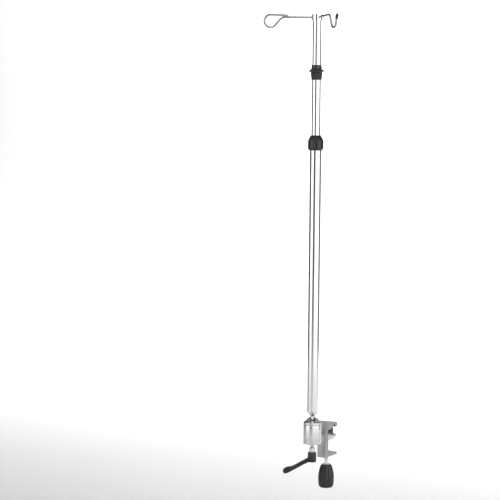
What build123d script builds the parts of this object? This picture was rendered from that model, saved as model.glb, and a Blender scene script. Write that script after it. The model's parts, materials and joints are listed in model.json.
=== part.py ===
from build123d import *
from math import cos, radians, sin
import os

# Infusion pole for a medical equipment rail. Millimetres, +Z up.
# The rail runs along X. The origin is the middle of the seat that rests on the rail's top edge,
# +Y points away from the user, and the pole stands in front of the rail, on the -Y side.

# ---- driving dimensions -------------------------------------------------------------------
RAIL_HEIGHT = 25.0
RAIL_THICKNESS = 10.0
GAP = 0.3                      # between curved faces of different moving bodies
FIT = 0.05                     # between faces of pieces that are fixed together
RUNNING = 0.1                  # radial clearance of a shaft in its bush

# C-shaped clamp body
CLAMP_WIDTH = 20.0
CLAMP_FRONT = -39.0
WEB_BACK = -25.5
JAW_TIP = 13.5
CLAMP_TOP = 13.5
JAW_TIP_TOP = 3.5
HOOK_LIP_LOW = -6.3
SEAT_CLEARANCE = 0.25
RAIL_HALF = RAIL_THICKNESS / 2 + SEAT_CLEARANCE
MOUTH_ROOF = -9.3
ROOF_END = -12.5               # where the mouth's roof starts to slope up to the seat
SEAT_FRONT_LOW = -5.3
CLAMP_LOW = -69.5
WING_ROOT_TOP = -54.6
WING_TIP_TOP = -64.5

# black insert in the mouth
INSERT_SIDE = 1.0              # how far it stands out past each side of the clamp
INSERT_HIGH, INSERT_NOSE, INSERT_FRONT = -5.6, -21.0, -15.4

# moving jaw and spindle
JAW_BACK_GAP = 0.4
JAW_LOW = -33.0
JAW_FRONT_TOP = -17.6
JAW_SEAT_LIP = -22.8
JAW_BACK_LIP = -22.0
SPINDLE_Y = -15.7
SPINDLE_RADIUS = 4.0
JOURNAL_RADIUS = 3.0
JOURNAL_TOP = -27.0
GROOVE_RADIUS = 1.9
GROOVE_LOW, GROOVE_HIGH = -30.8, -28.2
JAW_PIN_RADIUS = 1.0
BUSH_RADIUS = 6.5
BUSH_TOP = -55.5

# barrel grip
GRIP_TOP, GRIP_WIDEST, GRIP_LOW = -88.2, -118.4, -140.5
GRIP_TOP_RADIUS, GRIP_RADIUS, GRIP_LOW_RADIUS = 10.9, 17.7, 15.6
GRIP_FLUTES = 8
FLUTE_RADIUS, FLUTE_DEPTH = 9.0, 0.7
GRIP_INSERT_RADIUS = 6.5
GRIP_CAP_RADIUS = 8.0
GRIP_CAP_DEPTH = 3.0
GRIP_BORE_LOW = GRIP_LOW + 13

# ball joint
POLE_Y = -79.0
BALL_Z = 7.0
BALL_RADIUS = 13.5
SEAT_THICKNESS = 3.0
SEAT_INNER = BALL_RADIUS + GAP
SEAT_OUTER = SEAT_INNER + SEAT_THICKNESS
CAVITY_RADIUS = SEAT_OUTER + GAP
HOUSING_RADIUS = 20.0
HOUSING_LOW, HOUSING_STEP, HOUSING_TOP = -31.3, 12.2, 15.2
STEP_RADIUS = 18.0
GROOVE_BOTTOM_RADIUS = 17.4
SNAP_GROOVE_LOW, SNAP_GROOVE_HIGH = 12.7, 14.0
LOWER_SEAT_TOP = 0.5
UPPER_SEAT_LOW, UPPER_SEAT_TOP = 8.2, 15.0

# slotted cap, which turns on the housing and lets the neck tilt in its slot
CAP_SHOULDER, CAP_TOP = 17.0, 28.0
CAP_RIM_RADIUS, CAP_MOUTH_RADIUS = 7.4, 6.2
CAP_WALL = 2.4
SLOT_WIDTH = 10.2
SLOT_LOW = 17.6
SLOT_AZIMUTH = -57.0           # degrees from +X, towards the front right
NECK_RADIUS = 3.8
NECK_BUSH_RADIUS = 4.75
NECK_BUSH_LOW = BALL_Z + 13.1
PISTON_TOP, PISTON_LOW = -4.0, -18.6
PLUG_TOP = -23.0
BOSS_HALF_WIDTH = 9.0
BOSS_LOW, BOSS_TOP = -31.0, -13.5
BOSS_SCREW_HEIGHTS = (-18.3, -26.3)
SCREW_RADIUS, SCREW_HEAD_RADIUS, SCREW_HEAD_HEIGHT = 1.7, 3.5, 3.2
COUNTERBORE_DEPTH = 4.0

# locking lever
LEVER_ANGLE = 213.0            # degrees from +X that the arm points to
BOLT_RADIUS = 3.6
INSERT_RADIUS = 6.6
INSERT_TOP, INSERT_LOW = -39.0, -59.5
HUB_RADIUS = 9.6
HUB_TOP, HUB_LOW = -49.5, -72.0
SHELF_TOP, SHELF_LOW = -60.0, -61.5
SCREW_HEAD_TOP, SCREW_HEAD_LOW = -68.6, -71.2
LEVER_SCREW_RADIUS, LEVER_SCREW_HEAD = 1.6, 4.4

# lower tube with its foot
LOWER_TUBE_RADIUS = 12.5
TUBE_WALL = 1.5
LOWER_TUBE_BORE = LOWER_TUBE_RADIUS - TUBE_WALL
FOOT_LOW, FOOT_TOP = 30.0, 41.3
FOOT_LOW_RADIUS = 4.9
FOOT_PLUG = 18.0               # length of the foot inside the tube
STUD_THREAD_RADIUS, STUD_THREAD_LENGTH = 3.9, 12.0
FOOT_PIN_RADIUS = 1.5
FOOT_PIN_Z = FOOT_TOP + 15.5
LOWER_TUBE_TOP = 630.0

# clamping nut
SLEEVE_RADIUS = 14.3
SLEEVE_LOW, SLEEVE_TOP = 616.0, 632.0
COLLET_TOP = 641.0
COLLET_RADIUS = 13.2
NUT_RADIUS = 17.0
NUT_LOW, NUT_SHOULDER, NUT_TOP = 613.5, 637.2, 646.3
NUT_FLUTES = 6
NUT_FLUTE_RADIUS, NUT_FLUTE_DEPTH = 12.0, 0.9

# upper tube
UPPER_TUBE_RADIUS = 9.5
UPPER_TUBE_BORE = 8.3
UPPER_TUBE_LOW, UPPER_TUBE_TOP = 300.0, 893.0
GUIDE_RADIUS = LOWER_TUBE_BORE - GAP
GUIDE_LENGTH = 30.0
PLUG_FLANGE, PLUG_DEPTH = 3.0, 16.0

# collar on the upper tube
COLLAR_LOW, COLLAR_JOINT, COLLAR_TOP = 765.6, 781.2, 797.8
FLANGE_RADIUS = 18.0
COLLAR_LOW_RADIUS, COLLAR_RADIUS = 10.8, 12.7
RING_RADIUS, RING_HEIGHT = 11.6, 3.0

# hooks
HEAD_RADIUS = 11.4
HEAD_TOP = 906.5
HOOK_Z = 899.6
WIRE_RADIUS = 2.4
LOOP_ANGLE = 213.0             # degrees from +X that the loop hook points to
OPEN_ANGLE = -32.0             # degrees from +X that the open hook points to
LOOP_RADIUS = 13.35
LOOP_CENTRE = 100.3            # distance of the loop's middle from the pole's axis
LOOP_CENTRE_Z = 890.9
LOOP_SHIFT = 7.5               # sideways shift of the returning end, which leaves the loop open
LOOP_START, LOOP_SWEEP, LOOP_STEPS = 43.0, 227.0, 22
WIRE_INSIDE = 5.2              # where both wires start inside the head
HEAD_SCREW_RADIUS = 2.0
# Corners of the open hook: distance from the pole's axis and height above the wires.
OPEN_ROUTE = [(WIRE_INSIDE, 0), (57, 3.5), (69, -25), (83, -25), (90.5, 0.5)]
OPEN_BENDS = [8, 6.5, 7]
TIP_RADIUS, TIP_LENGTH = 3.2, 11.5
TIP_DEPTH = 9.0                # length of wire inside the tip


# ---- helpers ------------------------------------------------------------------------------
def turned(points, y=0.0):
    """Solid of revolution about the vertical line at (0, y), from (radius, height) points."""
    outline = make_face(Plane.XZ * Polyline(*points, close=True))
    return Pos(0, y, 0) * revolve(outline, Axis.Z)


def rod(radius, low, high, x=0.0, y=0.0):
    """Upright cylinder between two heights."""
    return Pos(x, y, (low + high) / 2) * Cylinder(radius, high - low)


def pipe(outer, inner, low, high, x=0.0, y=0.0):
    """Upright tube between two heights."""
    return rod(outer, low, high, x, y) - rod(inner, low - 1, high + 1, x, y)


def side_profile(points, width):
    """Prism of (y, z) points, centred on X = 0."""
    outline = make_face(Plane.YZ * Polyline(*points, close=True))
    return extrude(outline, width / 2, both=True)


def cross_rod(radius, length, x, y, z, direction):
    """Cylinder lying along X or Y."""
    turn = (0, 90, 0) if direction == "X" else (90, 0, 0)
    return Pos(x, y, z) * Rot(*turn) * Cylinder(radius, length)


def flutes(count, centre_radius, radius, low, high, y):
    """Upright round cutters standing in a circle."""
    cutters = []
    for index in range(count):
        angle = radians(360 * (index + 0.5) / count)
        x = centre_radius * cos(angle)
        cutters.append(rod(radius, low, high, x, y + centre_radius * sin(angle)))
    return cutters


def bent_wire(points, radius):
    """Round wire through points in space, with a ball at each bend and at the end."""
    shape = None
    for start, end in zip(points, points[1:]):
        direction = Vector(*end) - Vector(*start)
        plane = Plane(origin=start, z_dir=direction)
        run = extrude(plane * Circle(radius), direction.length)
        joint = Pos(*end) * Sphere(radius)
        shape = run + joint if shape is None else shape + run + joint
    return shape


def on_pole(distance, height, angle, side=0.0):
    """Point at a distance from the pole's axis towards an angle, with a shift to one side."""
    turn = radians(angle)
    x = distance * cos(turn) - side * sin(turn)
    y = POLE_Y + distance * sin(turn) + side * cos(turn)
    return (x, y, height)


# ---- clamp --------------------------------------------------------------------------------
def clamp_body():
    outline = [
        (CLAMP_FRONT, CLAMP_LOW), (CLAMP_FRONT, CLAMP_TOP), (JAW_TIP - 1.5, JAW_TIP_TOP),
        (JAW_TIP, JAW_TIP_TOP - 1.5), (JAW_TIP, HOOK_LIP_LOW), (RAIL_HALF + 1, HOOK_LIP_LOW),
        (RAIL_HALF, HOOK_LIP_LOW + 1), (RAIL_HALF, 0), (-RAIL_HALF, 0),
        (-RAIL_HALF, SEAT_FRONT_LOW), (ROOF_END, MOUTH_ROOF),
        (WEB_BACK, MOUTH_ROOF), (WEB_BACK, WING_ROOT_TOP), (JAW_TIP - 1.5, WING_TIP_TOP),
        (JAW_TIP, WING_TIP_TOP - 1.5), (JAW_TIP, CLAMP_LOW + 1), (JAW_TIP - 1, CLAMP_LOW),
    ]
    body = side_profile(outline, CLAMP_WIDTH)
    body -= rod(BUSH_RADIUS + FIT, CLAMP_LOW - 1, BUSH_TOP + 1, 0, SPINDLE_Y)
    for height in BOSS_SCREW_HEIGHTS:
        body -= cross_rod(SCREW_RADIUS + GAP, 60, 0, CLAMP_FRONT, height, "Y")
        body -= cross_rod(SCREW_HEAD_RADIUS + 0.2, 2 * COUNTERBORE_DEPTH, 0, WEB_BACK, height, "Y")
    return body


def jaw_insert():
    front = WEB_BACK + FIT
    outline = [
        (front, MOUTH_ROOF - FIT), (ROOF_END, MOUTH_ROOF - FIT), (-RAIL_HALF, INSERT_HIGH),
        (-RAIL_HALF, INSERT_NOSE), (-RAIL_HALF - 3, INSERT_NOSE - 0.6), (front, INSERT_FRONT),
    ]
    return side_profile(outline, CLAMP_WIDTH + 2 * INSERT_SIDE)


def spindle_bush():
    return pipe(BUSH_RADIUS, SPINDLE_RADIUS + RUNNING, CLAMP_LOW, BUSH_TOP, 0, SPINDLE_Y)


def moving_jaw():
    front = WEB_BACK + JAW_BACK_GAP
    outline = [
        (front, JAW_LOW + 1), (front, JAW_FRONT_TOP), (front + 1.5, JAW_FRONT_TOP + 0.6),
        (-RAIL_HALF - 3.2, JAW_SEAT_LIP), (-RAIL_HALF, JAW_SEAT_LIP), (-RAIL_HALF, -RAIL_HEIGHT),
        (RAIL_HALF, -RAIL_HEIGHT), (RAIL_HALF, JAW_BACK_LIP), (JAW_TIP - 2, JAW_BACK_LIP),
        (JAW_TIP, JAW_BACK_LIP - 2), (JAW_TIP, JAW_LOW + 5), (-2, JAW_LOW), (front + 1, JAW_LOW),
    ]
    jaw = side_profile(outline, CLAMP_WIDTH - 2)
    jaw -= rod(JOURNAL_RADIUS + RUNNING, JAW_LOW - 1, JOURNAL_TOP + 0.5, 0, SPINDLE_Y)
    pin_y = SPINDLE_Y + JOURNAL_RADIUS
    pin_z = (GROOVE_LOW + GROOVE_HIGH) / 2
    jaw -= cross_rod(JAW_PIN_RADIUS + FIT, CLAMP_WIDTH + 2, 0, pin_y, pin_z, "X")
    return jaw


def jaw_pin():
    pin_z = (GROOVE_LOW + GROOVE_HIGH) / 2
    length = CLAMP_WIDTH - 2.4
    return cross_rod(JAW_PIN_RADIUS, length, 0, SPINDLE_Y + JOURNAL_RADIUS, pin_z, "X")


def clamp_spindle():
    journal = rod(JOURNAL_RADIUS, JAW_LOW - 1, JOURNAL_TOP, 0, SPINDLE_Y)
    journal -= pipe(JOURNAL_RADIUS + 1, GROOVE_RADIUS, GROOVE_LOW, GROOVE_HIGH, 0, SPINDLE_Y)
    shaft = turned(
        [(0, GRIP_BORE_LOW + 1), (SPINDLE_RADIUS, GRIP_BORE_LOW + 1), (SPINDLE_RADIUS, JAW_LOW - 1.1),
         (SPINDLE_RADIUS - 0.8, JAW_LOW - GAP), (0, JAW_LOW - GAP)],
        SPINDLE_Y,
    )
    return shaft + journal


def grip_barrel():
    top = (GRIP_TOP_RADIUS, GRIP_TOP - 1)
    widest = (GRIP_RADIUS, GRIP_WIDEST)
    low = (GRIP_LOW_RADIUS, GRIP_LOW + 2.5)
    with BuildPart() as barrel:
        with BuildSketch(Plane.XZ):
            with BuildLine():
                Line((0, GRIP_TOP), (GRIP_TOP_RADIUS - 1, GRIP_TOP))
                Line((GRIP_TOP_RADIUS - 1, GRIP_TOP), top)
                ThreePointArc(top, (GRIP_RADIUS - 2.0, (GRIP_TOP + GRIP_WIDEST) / 2), widest)
                ThreePointArc(widest, (GRIP_RADIUS - 0.5, GRIP_WIDEST - 10), low)
                Line(low, (GRIP_LOW_RADIUS - 2.5, GRIP_LOW))
                Line((GRIP_LOW_RADIUS - 2.5, GRIP_LOW), (0, GRIP_LOW))
                Line((0, GRIP_LOW), (0, GRIP_TOP))
            make_face()
        revolve(axis=Axis.Z)
    grip = Pos(0, SPINDLE_Y, 0) * barrel.part
    stand_off = GRIP_RADIUS + FLUTE_RADIUS - FLUTE_DEPTH
    for cutter in flutes(GRIP_FLUTES, stand_off, FLUTE_RADIUS, GRIP_LOW - 1, GRIP_TOP + 1, SPINDLE_Y):
        grip -= cutter
    grip -= rod(GRIP_INSERT_RADIUS + FIT, GRIP_BORE_LOW, GRIP_TOP + 1, 0, SPINDLE_Y)
    grip -= rod(SPINDLE_RADIUS, GRIP_LOW + GRIP_CAP_DEPTH, GRIP_TOP, 0, SPINDLE_Y)
    grip -= rod(GRIP_CAP_RADIUS + FIT, GRIP_LOW - 1, GRIP_LOW + GRIP_CAP_DEPTH, 0, SPINDLE_Y)
    return grip


def grip_insert():
    return pipe(GRIP_INSERT_RADIUS, SPINDLE_RADIUS + FIT, GRIP_BORE_LOW + 1, GRIP_TOP - 0.5, 0, SPINDLE_Y)


def grip_cap():
    return turned(
        [(0, GRIP_LOW - 0.4), (GRIP_CAP_RADIUS - 1, GRIP_LOW - 0.4), (GRIP_CAP_RADIUS, GRIP_LOW + 0.4),
         (GRIP_CAP_RADIUS, GRIP_LOW + GRIP_CAP_DEPTH - 0.1), (0, GRIP_LOW + GRIP_CAP_DEPTH - 0.1)],
        SPINDLE_Y,
    )


# ---- ball joint ---------------------------------------------------------------------------
def ball_housing():
    """Round housing with a step at the top, on which the slotted cap turns."""
    shell = turned(
        [(0, HOUSING_LOW), (HOUSING_RADIUS - 0.8, HOUSING_LOW), (HOUSING_RADIUS, HOUSING_LOW + 0.8),
         (HOUSING_RADIUS, HOUSING_STEP), (STEP_RADIUS, HOUSING_STEP), (STEP_RADIUS, SNAP_GROOVE_LOW),
         (GROOVE_BOTTOM_RADIUS, SNAP_GROOVE_LOW), (GROOVE_BOTTOM_RADIUS, SNAP_GROOVE_HIGH),
         (STEP_RADIUS, SNAP_GROOVE_HIGH), (STEP_RADIUS, HOUSING_TOP), (0, HOUSING_TOP)]
    )
    shell -= Pos(0, 0, BALL_Z) * Sphere(CAVITY_RADIUS)
    shell -= rod(CAVITY_RADIUS, HOUSING_LOW - 1, BALL_Z)
    for height in BOSS_SCREW_HEIGHTS:
        shell -= cross_rod(SCREW_RADIUS + 0.1, 12, 0, HOUSING_RADIUS, height, "Y")
    return Pos(0, POLE_Y, 0) * shell


def housing_cap():
    """Coned cap with a slot from its middle out to one side, snapped onto the housing's step."""
    low = HOUSING_STEP + GAP
    skirt = STEP_RADIUS + GAP
    lip = GROOVE_BOTTOM_RADIUS + GAP
    under = HOUSING_TOP + GAP
    cap = turned(
        [(skirt, low), (HOUSING_RADIUS, low), (HOUSING_RADIUS, CAP_SHOULDER), (CAP_RIM_RADIUS, CAP_TOP),
         (CAP_MOUTH_RADIUS, CAP_TOP), (CAP_MOUTH_RADIUS, CAP_TOP - CAP_WALL),
         (skirt - 1, under), (skirt, under), (skirt, SNAP_GROOVE_HIGH - GAP),
         (lip, SNAP_GROOVE_HIGH - GAP), (lip, SNAP_GROOVE_LOW + GAP), (skirt, SNAP_GROOVE_LOW + GAP)]
    )
    round_z = SLOT_LOW + SLOT_WIDTH / 2
    slot = Pos(15, 0, round_z) * Rot(0, 90, 0) * Cylinder(SLOT_WIDTH / 2, 30)
    slot += Pos(15, 0, round_z + 10) * Box(30, SLOT_WIDTH, 20)
    return Pos(0, POLE_Y, 0) * (cap - Rot(0, 0, SLOT_AZIMUTH) * slot)


def neck_bush():
    """Sleeve that turns on the neck and runs in the cap's slot."""
    return pipe(NECK_BUSH_RADIUS, NECK_RADIUS + RUNNING, NECK_BUSH_LOW, FOOT_LOW - 0.2, 0, POLE_Y)


def housing_boss():
    depth = CLAMP_FRONT - POLE_Y - FIT
    block = Pos(0, POLE_Y + depth / 2, (BOSS_LOW + BOSS_TOP) / 2)
    block *= Box(2 * BOSS_HALF_WIDTH, depth, BOSS_TOP - BOSS_LOW)
    block -= rod(HOUSING_RADIUS + FIT, BOSS_LOW - 1, BOSS_TOP + 1, 0, POLE_Y)
    for height in BOSS_SCREW_HEIGHTS:
        block -= cross_rod(SCREW_RADIUS + GAP, 80, 0, CLAMP_FRONT, height, "Y")
    return block


def boss_screws():
    front = POLE_Y + HOUSING_RADIUS - 2.5
    back = WEB_BACK - 0.4
    screws = []
    for height in BOSS_SCREW_HEIGHTS:
        shank = cross_rod(SCREW_RADIUS, back - 3 - front, 0, (front + back - 3) / 2, height, "Y")
        head_y = back - SCREW_HEAD_HEIGHT / 2
        head = cross_rod(SCREW_HEAD_RADIUS, SCREW_HEAD_HEIGHT, 0, head_y, height, "Y")
        socket = Pos(0, back, height) * Rot(90, 0, 0) * extrude(RegularPolygon(1.6, 6), 1.8, both=True)
        screws.append(shank + head - socket)
    return Compound(children=screws)


def base_plug():
    plug = rod(CAVITY_RADIUS - FIT, HOUSING_LOW, PLUG_TOP, 0, POLE_Y)
    plug -= rod(BOLT_RADIUS + RUNNING, HOUSING_LOW - 1, PLUG_TOP + 1, 0, POLE_Y)
    for angle in (0, 180):
        x, y, _ = on_pole(11.5, 0, angle)
        plug -= rod(1.6, HOUSING_LOW - 1, HOUSING_LOW + 3, x, y)
    return plug


def pressure_piston():
    piston = rod(CAVITY_RADIUS - 0.2, PISTON_LOW, PISTON_TOP, 0, POLE_Y)
    return piston - Pos(0, POLE_Y, BALL_Z) * Sphere(CAVITY_RADIUS)


def disc_springs():
    inner, outer, thick, rise = 4.4, 12.0, 0.9, 1.0
    low = PLUG_TOP + 0.1
    middle = (PLUG_TOP + PISTON_LOW) / 2
    high = PISTON_LOW - 0.1
    lower = turned([(inner, low), (outer, middle - 0.15 - thick), (outer, middle - 0.15),
                    (inner, low + thick)], POLE_Y)
    upper = turned([(inner, high), (outer, middle + 0.15 + thick), (outer, middle + 0.15),
                    (inner, high - thick)], POLE_Y)
    return Compound(children=[lower, upper])


def seat_zone(low, high):
    """Part of the spherical seat shell between two heights."""
    shell = Sphere(SEAT_OUTER) - Sphere(SEAT_INNER)
    band = Pos(0, 0, (low + high) / 2 - BALL_Z) * Box(60, 60, high - low)
    return Pos(0, POLE_Y, BALL_Z) * (shell & band)


def lower_seat():
    return seat_zone(BALL_Z - 30, LOWER_SEAT_TOP) - rod(5, -30, 0, 0, POLE_Y)


def upper_seat():
    return seat_zone(UPPER_SEAT_LOW, UPPER_SEAT_TOP)


def ball_stud():
    neck = rod(NECK_RADIUS, BALL_Z, FOOT_LOW + 1)
    thread = rod(STUD_THREAD_RADIUS, FOOT_LOW + 0.5, FOOT_TOP + STUD_THREAD_LENGTH)
    return Pos(0, POLE_Y, 0) * (Pos(0, 0, BALL_Z) * Sphere(BALL_RADIUS) + neck + thread)


# ---- locking lever ------------------------------------------------------------------------
def lock_bolt():
    return rod(BOLT_RADIUS, INSERT_LOW + 8, PISTON_LOW - 0.1, 0, POLE_Y)


def lever_insert():
    body = turned([(0, INSERT_LOW), (INSERT_RADIUS, INSERT_LOW), (INSERT_RADIUS, INSERT_TOP - 3.2),
                   (INSERT_RADIUS - 2.2, INSERT_TOP), (0, INSERT_TOP)], POLE_Y)
    body -= rod(BOLT_RADIUS + FIT, INSERT_LOW + 7.9, INSERT_TOP + 1, 0, POLE_Y)
    return body - rod(LEVER_SCREW_RADIUS + FIT, INSERT_LOW - 1, INSERT_LOW + 7, 0, POLE_Y)


def lever_screw():
    head = rod(LEVER_SCREW_HEAD, SCREW_HEAD_LOW, SCREW_HEAD_TOP, 0, POLE_Y)
    shank = rod(LEVER_SCREW_RADIUS, SCREW_HEAD_TOP - 1, INSERT_LOW + 6.5, 0, POLE_Y)
    slot = Pos(0, POLE_Y, SCREW_HEAD_LOW) * Box(9, 1.0, 1.6)
    return head + shank - slot


def lever_spring():
    return pipe(3.4, 2.2, SCREW_HEAD_TOP + 0.1, SHELF_LOW - 0.1, 0, POLE_Y)


def lock_lever():
    hub = turned([(0, HUB_LOW), (HUB_RADIUS - 1.2, HUB_LOW), (HUB_RADIUS, HUB_LOW + 1.2),
                  (HUB_RADIUS, HUB_TOP - 6), (HUB_RADIUS - 0.9, HUB_TOP), (0, HUB_TOP)])
    side = make_face(Plane.XZ * Polyline(
        (0, -60.5), (9.4, -62.2), (45.5, -83.0), (52.0, -82.0), (61.5, -86.2), (63.5, -89.0),
        (63.0, -97.0), (60.0, -98.7), (55.5, -98.4), (6.0, HUB_LOW), (0, HUB_LOW), close=True))
    arm = extrude(side, 9, both=True)
    plan = make_face(Polyline(
        (0, -8.2), (9, -7.6), (22, -5.6), (42, -6.2), (56, -6.6), (61.5, -5.0), (64, -2.0),
        (64, 2.0), (61.5, 5.0), (56, 6.6), (42, 6.2), (22, 5.6), (9, 7.6), (0, 8.2), close=True))
    arm &= Pos(0, 0, -110) * extrude(plan, 60)
    lever = hub + arm
    lever -= rod(INSERT_RADIUS + RUNNING, SHELF_TOP, HUB_TOP + 1)
    lever -= rod(LEVER_SCREW_RADIUS + GAP, SHELF_LOW - 1, SHELF_TOP + 1)
    lever -= rod(LEVER_SCREW_HEAD + GAP, HUB_LOW - 1, SHELF_LOW)
    return Pos(0, POLE_Y, 0) * Rot(0, 0, LEVER_ANGLE) * lever


# ---- lower tube and clamping nut ------------------------------------------------------------
def cone_foot():
    plug = LOWER_TUBE_BORE - FIT
    foot = turned(
        [(0, FOOT_LOW), (FOOT_LOW_RADIUS, FOOT_LOW), (FOOT_LOW_RADIUS + 0.3, FOOT_LOW + 0.6),
         (LOWER_TUBE_RADIUS - 0.5, FOOT_TOP - 1.5), (LOWER_TUBE_RADIUS, FOOT_TOP), (plug, FOOT_TOP),
         (plug, FOOT_TOP + FOOT_PLUG), (0, FOOT_TOP + FOOT_PLUG)],
        POLE_Y,
    )
    foot -= rod(STUD_THREAD_RADIUS + FIT, FOOT_LOW - 1, FOOT_TOP + STUD_THREAD_LENGTH + 1, 0, POLE_Y)
    return foot - foot_pin_hole()


def foot_pin_hole():
    return cross_rod(FOOT_PIN_RADIUS + FIT, 30, 0, POLE_Y, FOOT_PIN_Z, "X")


def foot_pin():
    return cross_rod(FOOT_PIN_RADIUS, 2 * LOWER_TUBE_RADIUS - 0.6, 0, POLE_Y, FOOT_PIN_Z, "X")


def lower_tube():
    tube = pipe(LOWER_TUBE_RADIUS, LOWER_TUBE_BORE, FOOT_TOP + FIT, LOWER_TUBE_TOP, 0, POLE_Y)
    return tube - foot_pin_hole()


def threaded_sleeve():
    sleeve = pipe(SLEEVE_RADIUS, LOWER_TUBE_RADIUS + FIT, SLEEVE_LOW, LOWER_TUBE_TOP + FIT, 0, POLE_Y)
    lip = pipe(SLEEVE_RADIUS, UPPER_TUBE_RADIUS + 0.4, LOWER_TUBE_TOP + FIT, SLEEVE_TOP, 0, POLE_Y)
    return sleeve + lip


def collet():
    bore = UPPER_TUBE_RADIUS + RUNNING
    low = SLEEVE_TOP + 0.1
    ring = turned([(bore, low), (COLLET_RADIUS, low), (COLLET_RADIUS, low + 2.9),
                   (bore + 1.3, COLLET_TOP), (bore, COLLET_TOP)], POLE_Y)
    return ring - Pos(10, POLE_Y, COLLET_TOP) * Box(20, 1.2, 40)


def clamp_nut():
    opening = UPPER_TUBE_RADIUS + GAP
    nut = turned(
        [(SLEEVE_RADIUS + RUNNING - 0.9, NUT_LOW), (NUT_RADIUS - 2.8, NUT_LOW), (NUT_RADIUS, NUT_LOW + 4),
         (NUT_RADIUS, NUT_SHOULDER - 1.5), (NUT_RADIUS - 0.6, NUT_SHOULDER), (opening + 1, NUT_TOP),
         (opening, NUT_TOP), (opening, COLLET_TOP + 1.2), (11.3, COLLET_TOP + 1.2),
         (13.6, SLEEVE_TOP + 3.2), (13.6, SLEEVE_TOP + 0.3), (SLEEVE_RADIUS + RUNNING, SLEEVE_TOP + 0.3),
         (SLEEVE_RADIUS + RUNNING, SLEEVE_LOW - 0.5), (LOWER_TUBE_RADIUS + GAP, SLEEVE_LOW - 0.5),
         (LOWER_TUBE_RADIUS + GAP, NUT_LOW)],
        POLE_Y,
    )
    stand_off = NUT_RADIUS + NUT_FLUTE_RADIUS - NUT_FLUTE_DEPTH
    for cutter in flutes(NUT_FLUTES, stand_off, NUT_FLUTE_RADIUS, NUT_LOW - 1, NUT_SHOULDER - 1.5, POLE_Y):
        nut -= cutter
    return nut


# ---- upper tube, collar and hooks -------------------------------------------------------------
def upper_tube():
    return pipe(UPPER_TUBE_RADIUS, UPPER_TUBE_BORE, UPPER_TUBE_LOW, UPPER_TUBE_TOP, 0, POLE_Y)


def tube_end_plug():
    return turned(
        [(0, UPPER_TUBE_LOW - PLUG_FLANGE), (GUIDE_RADIUS - 0.4, UPPER_TUBE_LOW - PLUG_FLANGE),
         (GUIDE_RADIUS - 0.4, UPPER_TUBE_LOW - FIT), (UPPER_TUBE_BORE - FIT, UPPER_TUBE_LOW - FIT),
         (UPPER_TUBE_BORE - FIT, UPPER_TUBE_LOW + PLUG_DEPTH), (0, UPPER_TUBE_LOW + PLUG_DEPTH)],
        POLE_Y,
    )


def guide_bush():
    low = UPPER_TUBE_LOW + GAP
    return pipe(GUIDE_RADIUS, UPPER_TUBE_RADIUS + RUNNING, low, low + GUIDE_LENGTH, 0, POLE_Y)


def stop_ring():
    low = UPPER_TUBE_LOW + GUIDE_LENGTH + 2 * GAP
    return pipe(GUIDE_RADIUS, UPPER_TUBE_RADIUS + FIT, low, low + 2, 0, POLE_Y)


def collar_sleeve():
    bore = UPPER_TUBE_RADIUS + GAP
    return turned(
        [(bore, COLLAR_LOW), (COLLAR_LOW_RADIUS, COLLAR_LOW), (COLLAR_RADIUS, COLLAR_JOINT - 1),
         (COLLAR_RADIUS, COLLAR_JOINT), (RING_RADIUS, COLLAR_JOINT),
         (RING_RADIUS, COLLAR_JOINT - RING_HEIGHT), (bore, COLLAR_JOINT - RING_HEIGHT)],
        POLE_Y,
    )


def collar_cap():
    bore = UPPER_TUBE_RADIUS + GAP
    return turned(
        [(bore, COLLAR_JOINT + FIT), (12.4, COLLAR_JOINT + FIT), (13.4, COLLAR_JOINT + 1.2),
         (FLANGE_RADIUS - 1, COLLAR_JOINT + 2.2), (FLANGE_RADIUS, COLLAR_JOINT + 3),
         (FLANGE_RADIUS - 0.4, COLLAR_JOINT + 4), (11.9, COLLAR_JOINT + 8.3), (11.3, COLLAR_JOINT + 9.3),
         (10.5, COLLAR_TOP), (bore, COLLAR_TOP)],
        POLE_Y,
    )


def collar_ring():
    low, high = COLLAR_JOINT - RING_HEIGHT + 0.1, COLLAR_JOINT - 0.1
    return pipe(RING_RADIUS - 0.1, UPPER_TUBE_RADIUS + RUNNING, low, high, 0, POLE_Y)


def hook_head():
    head = turned(
        [(0, UPPER_TUBE_TOP - 22), (UPPER_TUBE_BORE - FIT, UPPER_TUBE_TOP - 22),
         (UPPER_TUBE_BORE - FIT, UPPER_TUBE_TOP + FIT), (HEAD_RADIUS - 0.5, UPPER_TUBE_TOP + FIT),
         (HEAD_RADIUS, UPPER_TUBE_TOP + 0.6), (HEAD_RADIUS, HEAD_TOP - 1), (HEAD_RADIUS - 1, HEAD_TOP),
         (0, HEAD_TOP)],
        POLE_Y,
    )
    for angle in (LOOP_ANGLE, OPEN_ANGLE):
        bore = Rot(0, 90, 0) * Cylinder(WIRE_RADIUS + FIT, 8)
        head -= Pos(*on_pole(9, HOOK_Z, angle)) * Rot(0, 0, angle) * bore
    return head - rod(HEAD_SCREW_RADIUS + FIT, HEAD_TOP - 9, HEAD_TOP + 1, 0, POLE_Y)


def head_screw():
    screw = rod(HEAD_SCREW_RADIUS, HEAD_TOP - 8.8, HEAD_TOP - 0.4, 0, POLE_Y)
    socket = Pos(0, POLE_Y, HEAD_TOP - 0.4) * extrude(RegularPolygon(1.2, 6), 2, both=True)
    return screw - socket


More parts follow.
